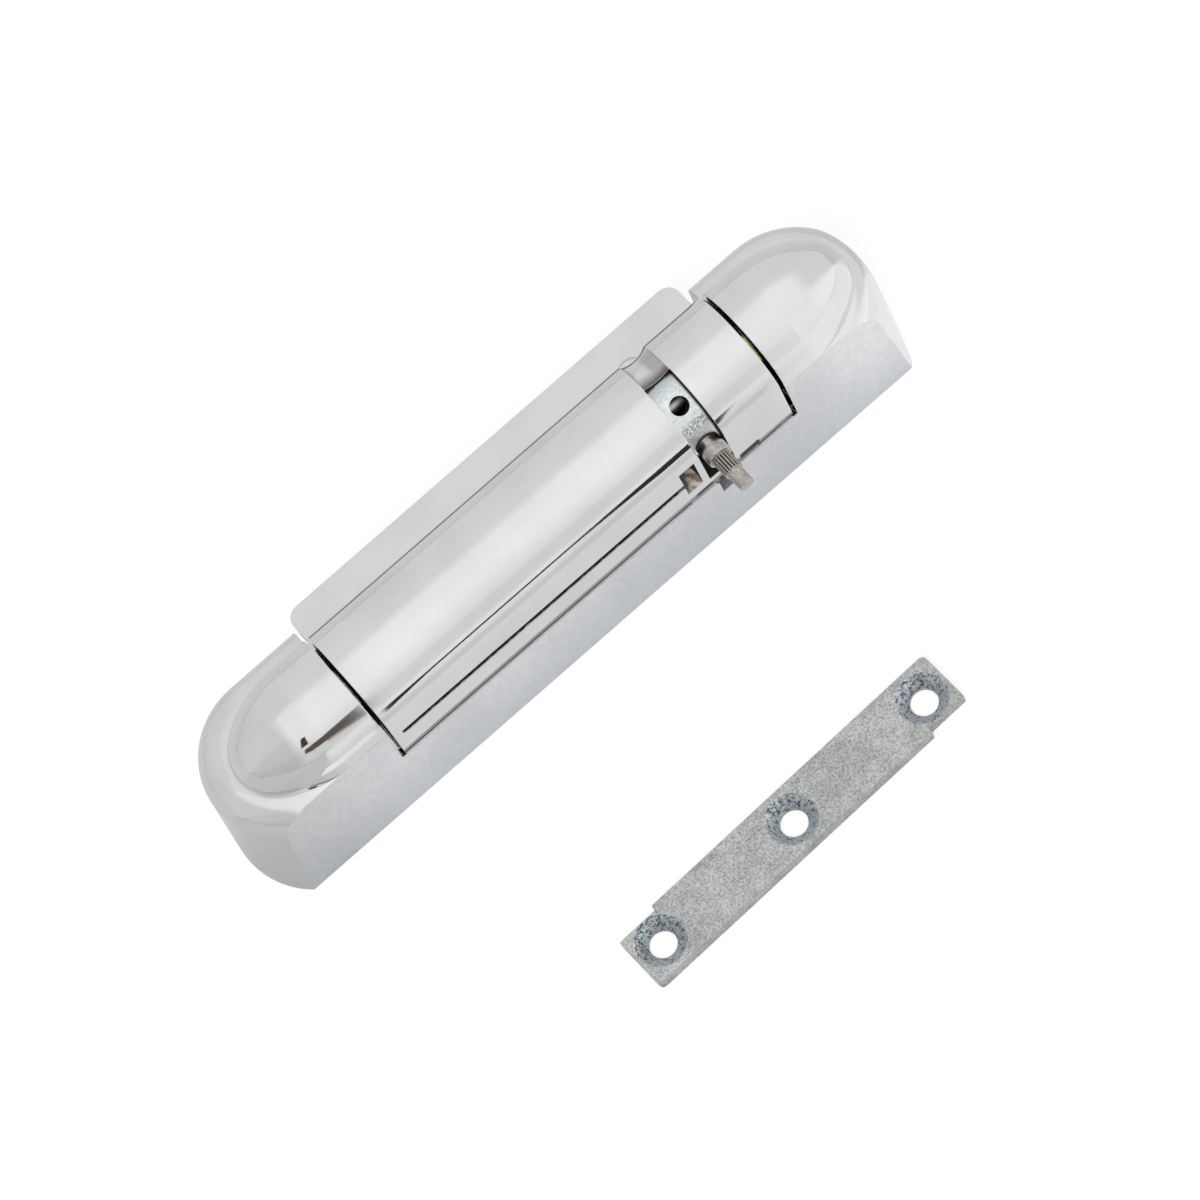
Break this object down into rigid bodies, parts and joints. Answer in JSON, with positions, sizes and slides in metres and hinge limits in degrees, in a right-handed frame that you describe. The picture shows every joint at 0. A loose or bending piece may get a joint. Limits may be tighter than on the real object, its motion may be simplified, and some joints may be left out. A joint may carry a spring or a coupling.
{
  "type": "adjustable spring hinge",
  "caption": "Surface-mounted self-closing hinge with domed ears, a slotted barrel leaf, a spring adjusting collar with a tension pin, and a loose mounting strip.",
  "frame": {"origin": "on the frame's mounting face, under the middle of the hinge axis", "axes": "+X along the hinge axis towards the end with the adjusting slot, +Y away from the satin side face, +Z out of the mounting face"},
  "size_m": [0.1527, 0.0924, 0.0434],
  "materials": {
    "chrome_casting": "polished chrome plate, satin on the flat side face",
    "bright_steel": "ground",
    "dark_steel": "oiled black",
    "bearing_brass": "machined",
    "raw_zinc": "bare die-cast zinc",
    "pin_steel": "bare steel",
    "nylon": "natural"
  },
  "bodies": {
    "frame": {"frame_body": "chrome_casting", "pintle": "bright_steel", "pintle_set_screws": "dark_steel", "spring_anchor": "raw_zinc", "anchor_pin": "dark_steel", "torsion_spring": "dark_steel", "spring_guide": "nylon"},
    "leaf": {"door_leaf": "chrome_casting", "bushing_left": "bearing_brass", "bushing_right": "bearing_brass", "thrust_washer_left": "bright_steel", "thrust_washer_right": "bright_steel", "spacer_sleeve": "bright_steel", "leaf_set_screws": "dark_steel"},
    "collar": {"adjusting_collar": "raw_zinc"},
    "pin": {"tension_pin": "pin_steel"},
    "strip": {"mounting_strip": "raw_zinc"}
  },
  "joints": [
    {"name": "door_swing", "type": "hinge", "parent": "frame", "child": "leaf", "pos_m": [0, 0, 0.0321], "axis": [1, 0, 0], "range_deg": [0, 180], "stiffness_Nm_per_rad": 0.1, "springref_deg": -22.92, "deforming": ["torsion_spring"]},
    {"name": "collar_turn", "type": "hinge", "parent": "leaf", "child": "collar", "pos_m": [0.0299, 0, 0.0321], "axis": [1, 0, 0], "range_deg": [-75, 30]},
    {"name": "pin_pull", "type": "slide", "parent": "collar", "child": "pin", "axis": [0, -1, 0], "range_m": [0, 0.006]},
    {"name": "strip_lift", "type": "slide", "parent": "frame", "child": "strip", "axis": [0, 0, 1], "range_m": [0, 0.03]}
  ]
}
